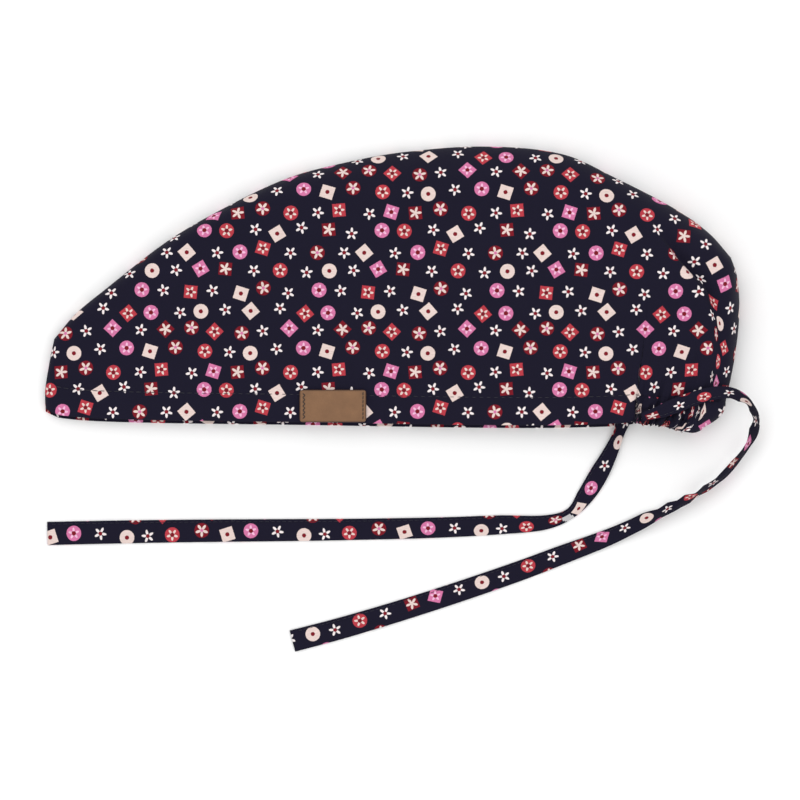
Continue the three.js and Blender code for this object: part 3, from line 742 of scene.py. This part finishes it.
def route_points(route, steps):
    """Even steps along a smooth curve through a route's rows, with its other columns carried along."""
    rows = [dict(row, at=float(index)) for index, row in enumerate(route)]
    at = np.linspace(0, len(rows) - 1, 2000)
    line = np.stack([along(rows, axis, at, "at") for axis in "xyz"], -1)
    run = lengths(line)
    even = np.interp(np.linspace(0, run[-1], steps), run, at)
    line = np.stack([along(rows, axis, even, "at") for axis in "xyz"], -1)
    return line, np.interp(even, at, run), [along(rows, column, even, "at") for column in ("roll", "width")]


def tape_frames(line, roll):
    """Directions across and up from a tape: level where roll is 0, and tipped about the route elsewhere."""
    ahead = np.gradient(line, axis=0)
    ahead /= np.linalg.norm(ahead, axis=1, keepdims=True)
    level = np.cross([0.0, 0.0, 1.0], ahead)
    level /= np.linalg.norm(level, axis=1, keepdims=True)
    above = np.cross(ahead, level)
    angle = np.radians(roll)[:, None]
    across = level * np.cos(angle) + above * np.sin(angle)
    return across, np.cross(ahead, across)


def make_tie(name, node, route, shift, cotton):
    """Flat tie: a section carried along the route, whose width and thickness follow the roots of
    the cosine and the sine round it. It lies with a little waver, and where it is tipped on its
    edge it is creased and kinked, by a triangle wave along its run."""
    line, run, (roll, width) = route_points(route, 420)
    loose = smooth(roll, 8, 45)
    kink = np.abs((run / 13.0 + 0.35 * np.sin(run / 9.0)) % 1.0 - 0.5) * 4 - 1
    roll = roll + loose * (7 * np.sin(run / 3.9) + 8 * kink)
    width = width * (1 + 0.10 * loose * np.sin(run / 5.3 + 1.0))
    across, above = tape_frames(line, roll)
    around = np.linspace(0, math.tau, 33)[:-1]
    side = np.sign(np.cos(around)) * np.abs(np.cos(around)) ** 0.5
    top = np.sign(np.sin(around)) * np.abs(np.sin(around)) ** 0.5
    half = (width / 2)[:, None]
    waver = 0.10 * np.sin(run / 7.3 + shift)[:, None] * side[None] ** 2
    waver = waver - (0.55 * loose)[:, None] * (1 - np.abs(side[None]) ** 1.5) * (1 + 0.4 * kink[:, None])
    ends = np.minimum(run, run[-1] - run)
    thick = (TIE_THICKNESS / 2 * (0.55 + 0.45 * smooth(ends, 0, 0.8)))[:, None]
    seamline = 0.16 * bell(side[None] * half - half + 1.2, 0.5)
    lift = thick * top[None] * (1 - seamline) + waver
    points = line[:, None] + across[:, None] * (half * side[None])[..., None]
    points = points + above[:, None] * lift[..., None]
    points[..., :2] += (across[:, :2] * (0.30 * loose * kink)[:, None])[:, None]
    points[..., 2] = np.maximum(points[..., 2], 0.03)
    sides = len(around)
    i, j = np.meshgrid(np.arange(len(line) - 1), np.arange(sides), indexing="ij")
    after = (j + 1) % sides
    faces = np.stack([i * sides + j, (i + 1) * sides + j, (i + 1) * sides + after, i * sides + after], -1)
    faces = faces.reshape(-1, 4)[:, ::-1]
    pair = np.arange(sides // 2 - 1)
    cap = np.stack([pair, pair + 1, sides - 2 - pair, sides - 1 - pair], -1)
    last = (len(line) - 1) * sides
    faces = np.concatenate([faces, cap, cap[:, ::-1] + last])
    piece = put_mesh(name, points, faces, [cotton])
    ring = lengths(np.stack([TIE_WIDTH / 2 * side, TIE_THICKNESS / 2 * top], -1))
    wrapped = np.stack(np.broadcast_arrays(run[:, None] + 0 * ring, ring[None] + shift), -1)
    corners = wrapped.reshape(-1, 2)[faces]
    # a face that closes the ring has its low corners set on by a whole turn
    short = corners[..., 1].max(1, keepdims=True) - corners[..., 1]
    corners[..., 1] += np.where(short > 8, ring[-1] + 0.4, 0.0)
    middle = points.reshape(-1, 3)[faces].mean(1)
    off_x = (middle[:, 0] - TURNED_OUT["x"]) / TURNED_OUT["along"]
    off_y = (middle[:, 1] - TURNED_OUT["y"]) / TURNED_OUT["across"]
    bare = (np.hypot(off_x, off_y) < 1) & (middle[:, 0] < TURNED_OUT["stop"])
    lay_print(piece.data, corners, bare)
    path = [tuple(float(c) * MM for c in point) for point in line[::6]]
    path.append(tuple(float(c) * MM for c in line[-1]))
    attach(piece, "root")
    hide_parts(node)


def make_label(hide):
    """Small leather label: a rectangle on a grid, whose corner squares are pulled in to quarter circles
    by the larger of a point's two offsets over their hypotenuse. Its upper edge is rounded over."""
    low, high = (np.array(corner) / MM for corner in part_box("leather_label"))
    middle, half = (low + high) / 2, (high - low)[:2] / 2
    lines = lambda count: np.sin(np.linspace(-math.pi / 2, math.pi / 2, count))
    a, b = np.meshgrid(lines(61), lines(33), indexing="ij")
    x, y = a * half[0], b * half[1]
    over_x = np.clip(np.abs(x) - (half[0] - LABEL_CORNER), 0, None)
    over_y = np.clip(np.abs(y) - (half[1] - LABEL_CORNER), 0, None)
    far = np.maximum(np.hypot(over_x, over_y), 1e-9)
    pull = np.where((over_x > 0) & (over_y > 0), np.maximum(over_x, over_y) / far, 1.0)
    x = np.sign(x) * (np.minimum(np.abs(x), half[0] - LABEL_CORNER) + over_x * pull)
    y = np.sign(y) * (np.minimum(np.abs(y), half[1] - LABEL_CORNER) + over_y * pull)
    edge = np.minimum(half[0] - np.abs(x), half[1] - np.abs(y))
    base = section("hem", middle[0] + x) + LABEL_LIFT
    top = base + LABEL_THICKNESS * (0.45 + 0.55 * climb(edge, LABEL_ROUND))
    points = np.stack([
        np.stack([middle[0] + x, middle[1] + y, top], -1),
        np.stack([middle[0] + x, middle[1] + y, base], -1),
    ])
    columns, rows = x.shape
    i, j = np.meshgrid(np.arange(columns - 1), np.arange(rows - 1), indexing="ij")
    at = lambda i, j, layer: layer * columns * rows + i * rows + j
    upper = np.stack([at(i, j, 0), at(i + 1, j, 0), at(i + 1, j + 1, 0), at(i, j + 1, 0)], -1).reshape(-1, 4)
    lower = upper[:, ::-1] + columns * rows
    border = np.concatenate([
        at(np.arange(columns), 0, 0), at(columns - 1, np.arange(1, rows), 0),
        at(np.arange(columns - 2, -1, -1), rows - 1, 0), at(0, np.arange(rows - 2, 0, -1), 0),
    ])
    following = np.roll(border, -1)
    below = columns * rows
    walls = np.stack([border, border + below, following + below, following], -1)
    piece = put_mesh("label_leather", points, np.concatenate([upper, lower, walls]), [hide])
    wear = np.concatenate([0.9 * bell(edge, 0.5).ravel(), np.full(edge.size, 0.9)])
    made = piece.data.attributes.new("edge_wear", "FLOAT", "POINT")
    made.data.foreach_set("value", wear.astype(np.float32))
    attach(piece, "root")
    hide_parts("leather_label")


def stitches(name, starts, stops, lifts, thread, radius=0.17, arch=0.22):
    """Many stitches in one mesh: each is a short round thread that arches from its start to its
    stop, thinner at the ends where it dives into the cloth."""
    rings, sides = 7, 6
    t = np.linspace(0, 1, rings)
    turn = np.linspace(0, math.tau, sides + 1)[:-1]
    ahead = stops - starts
    ahead /= np.linalg.norm(ahead, axis=1, keepdims=True)
    across = np.cross(lifts, ahead)
    across /= np.linalg.norm(across, axis=1, keepdims=True)
    middle = starts[:, None] + (stops - starts)[:, None] * t[None, :, None]
    middle = middle + lifts[:, None] * (arch * np.sin(math.pi * t))[None, :, None]
    thick = radius * (0.35 + 0.65 * np.sin(math.pi * np.clip(t, 0.06, 0.94)) ** 0.5)
    cos, sin = np.cos(turn)[None, None, :, None], np.sin(turn)[None, None, :, None]
    ring = across[:, None, None] * cos + lifts[:, None, None] * sin
    points = middle[:, :, None] + ring * thick[None, :, None, None]
    near_end = np.array([[3, 2, 1, 0], [0, 5, 4, 3]])
    far_end = np.array([[0, 1, 2, 3], [3, 4, 5, 0]]) + (rings - 1) * sides
    one = np.concatenate([tube_faces(rings, sides), near_end, far_end])
    faces = (one[None] + (np.arange(len(starts)) * rings * sides)[:, None, None]).reshape(-1, 4)
    return put_mesh(name, points, faces, [thread])


def surface_line(shape, hem_x, up, mirrored=False):
    """Points of a side's outer face along a line of the grid, with the way out of the cloth."""
    step = 0.004
    grid_x = np.stack([hem_x] * 3, 1)
    grid_up = np.stack([up - step, up, up + step], 1)
    points = shape(grid_x, grid_up)[0]
    return points[:, 1], facing(points)[:, 1] * (-1 if mirrored else 1)


def hem_stitching(name, shape, mirrored, thread):
    """Topstitching at an even distance from the mouth, with a short space between the stitches."""
    hem_x = np.arange(FOREHEAD_EDGE[0]["x"] + 4, CASING_START - 2, 0.05)
    _, _, from_hem, _ = panel_plan(hem_x, np.ones_like(hem_x), 0.0 if mirrored else HEM_SHOW)
    up = HEM_DEPTH / from_hem
    line, out = surface_line(shape, hem_x, up, mirrored)
    run = lengths(line)
    starts = np.arange(1.0, run[-1] - STITCH_LENGTH, STITCH_PITCH)
    lifts = read_off(out, run, starts + STITCH_LENGTH / 2)
    first = read_off(line, run, starts) - lifts * STITCH_SINK
    second = read_off(line, run, starts + STITCH_LENGTH) - lifts * STITCH_SINK
    piece = stitches(name, first, second, lifts, thread)
    finish_piece(piece, "printed_cotton")


def label_stitching(thread):
    """Zigzag stitches down the left end of the label and a straight row down its right end."""
    low, high = (np.array(corner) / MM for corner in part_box("leather_label"))
    at = lambda x, y: np.stack([x, y, section("hem", x) + LABEL_LIFT + LABEL_FACE], -1)
    zig = np.arange(low[1] + 1.6, high[1] - 1.4, 0.95)
    swing = np.where(np.arange(len(zig)) % 2, 0.55, -0.55)
    left = at(low[0] + 2.0 + swing, zig)
    row = np.arange(low[1] + 1.3, high[1] - 2.4, 1.8)
    starts = np.concatenate([left[:-1], at(high[0] - 1.5 + 0 * row, row)])
    stops = np.concatenate([left[1:], at(high[0] - 1.4 + 0 * row, row + 1.5)])
    up = np.broadcast_to([0.0, 0.0, 1.0], starts.shape)
    piece = stitches("label_stitches", starts, stops, up, thread, radius=0.24, arch=0.16)
    finish_piece(piece, "tan_leather")


def tie_stitching(name, route, thread):
    """A row of small stitches along the closed edge of a tie, wherever the tape lies flat."""
    line, run, (roll, width) = route_points(route, 900)
    flat = roll < 12
    across, above = tape_frames(line, roll)
    edge = line - across * (width / 2 - 1.1)[:, None] + above * (TIE_THICKNESS / 2 + 0.02)
    starts = np.arange(2.0, run[-1] - 3.0, 2.6)
    starts = starts[np.interp(starts, run, flat * 1.0) > 0.99]
    first, second = read_off(edge, run, starts), read_off(edge, run, starts + TIE_STITCH)
    lifts = read_off(above, run, starts + TIE_STITCH / 2)
    piece = stitches(name, first, second, lifts, thread, radius=0.10, arch=0.06)
    finish_piece(piece, "printed_cotton")


def casing_stitching(thread):
    """A column of close stitches where the elastic starts, with a slight waver."""
    y = np.arange(-58.0, -46.5, 0.55)
    x = 110.2 + 0.25 * np.sin(2.2 * y)
    z = section("hem", x) + 0.35
    starts = np.stack([x - 0.8, y, z], -1)
    stops = np.stack([x + 0.8, y + 0.25, z], -1)
    up = np.broadcast_to([0.0, 0.0, 1.0], starts.shape)
    piece = stitches("casing_bar_stitches", starts, stops, up, thread, radius=0.15, arch=0.12)
    finish_piece(piece, "printed_cotton")


def finish_piece(piece, slot, *nodes):
    """Rides a piece on the cap and hides the parts of model.glb that it stands for. slot, the name of its
    finish, is not used.
    """
    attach(piece, "root")
    if nodes:
        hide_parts(*nodes)


# ---------------------------------------------------------------- studio


LAMPS = (
    dict(name="key_lamp", place=(-0.4, 0.6, 1.5), power=6.5, width=1.2),
    dict(name="fill_lamp", place=(0.9, -0.6, 1.4), power=3.0, width=1.0),
)


def studio():
    """Camera straight above, a pale floor, a bright even sky and two large soft lamps."""
    scene = bpy.context.scene
    camera = bpy.data.cameras.new("camera")
    camera.sensor_width = 36.0
    camera.lens = 239.0
    camera.clip_end = 20.0
    eye = bpy.data.objects.new("camera", camera)
    eye.location = (0.0036, -0.0495, 2.40)
    scene.collection.objects.link(eye)
    scene.camera = eye

    size = 3.0
    floor = bpy.data.meshes.new("floor")
    corners = [(-size, -size, 0), (size, -size, 0), (size, size, 0), (-size, size, 0)]
    floor.from_pydata(corners, [], [(0, 1, 2, 3)])
    paper = bpy.data.materials.new("white_paper")
    paper.use_nodes = True
    shader = paper.node_tree.nodes["Principled BSDF"]
    shader.inputs["Base Color"].default_value = (0.93, 0.93, 0.93, 1)
    shader.inputs["Roughness"].default_value = 0.9
    floor.materials.append(paper)
    ground = bpy.data.objects.new("floor", floor)
    scene.collection.objects.link(ground)

    world = bpy.data.worlds.new("studio_sky")
    world.use_nodes = True
    world.node_tree.nodes["Background"].inputs[0].default_value = (1.0, 1.0, 1.0, 1)
    world.node_tree.nodes["Background"].inputs[1].default_value = 0.95
    scene.world = world

    for row in LAMPS:
        place = row["place"]
        lamp = bpy.data.lights.new(row["name"], "AREA")
        lamp.energy = row["power"]
        lamp.size = row["width"]
        holder = bpy.data.objects.new(row["name"], lamp)
        holder.location = place
        aim = math.atan2(place[1], place[0])
        holder.rotation_euler = (0, math.atan2(math.hypot(*place[:2]), place[2]), aim)
        scene.collection.objects.link(holder)
    scene.view_settings.view_transform = "Standard"


studio()
COTTON_FACE = cotton_print("printed_cotton")
COTTON_BACK = cotton_print("printed_cotton_reverse", reverse=True)
NAVY_THREAD = sewing_thread("navy_thread", (0.007, 0.006, 0.016))
BROWN_THREAD = sewing_thread("dark_brown_thread", (0.03, 0.017, 0.012))
TAN_HIDE = tan_hide("tan_leather")

make_tie("tie_near_cloth", "tie_near", NEAR_ROUTE, 3.0, COTTON_FACE)
make_tie("tie_far_cloth", "tie_far", FAR_ROUTE, 41.0, COTTON_FACE)
UPPER, UNDER = make_sides(COTTON_FACE, COTTON_BACK)
finish_piece(UPPER, "printed_cotton", "side_panel_upper")
finish_piece(UNDER, "printed_cotton", "side_panel_under")
CASING = make_casing(COTTON_FACE)
finish_piece(CASING, "printed_cotton", "nape_casing")
make_label(TAN_HIDE)
hem_stitching("hem_stitches_upper", upper_side, False, NAVY_THREAD)
hem_stitching("hem_stitches_under", under_side, True, NAVY_THREAD)
label_stitching(BROWN_THREAD)
tie_stitching("tie_near_stitches", NEAR_ROUTE, NAVY_THREAD)
tie_stitching("tie_far_stitches", FAR_ROUTE, NAVY_THREAD)
casing_stitching(NAVY_THREAD)
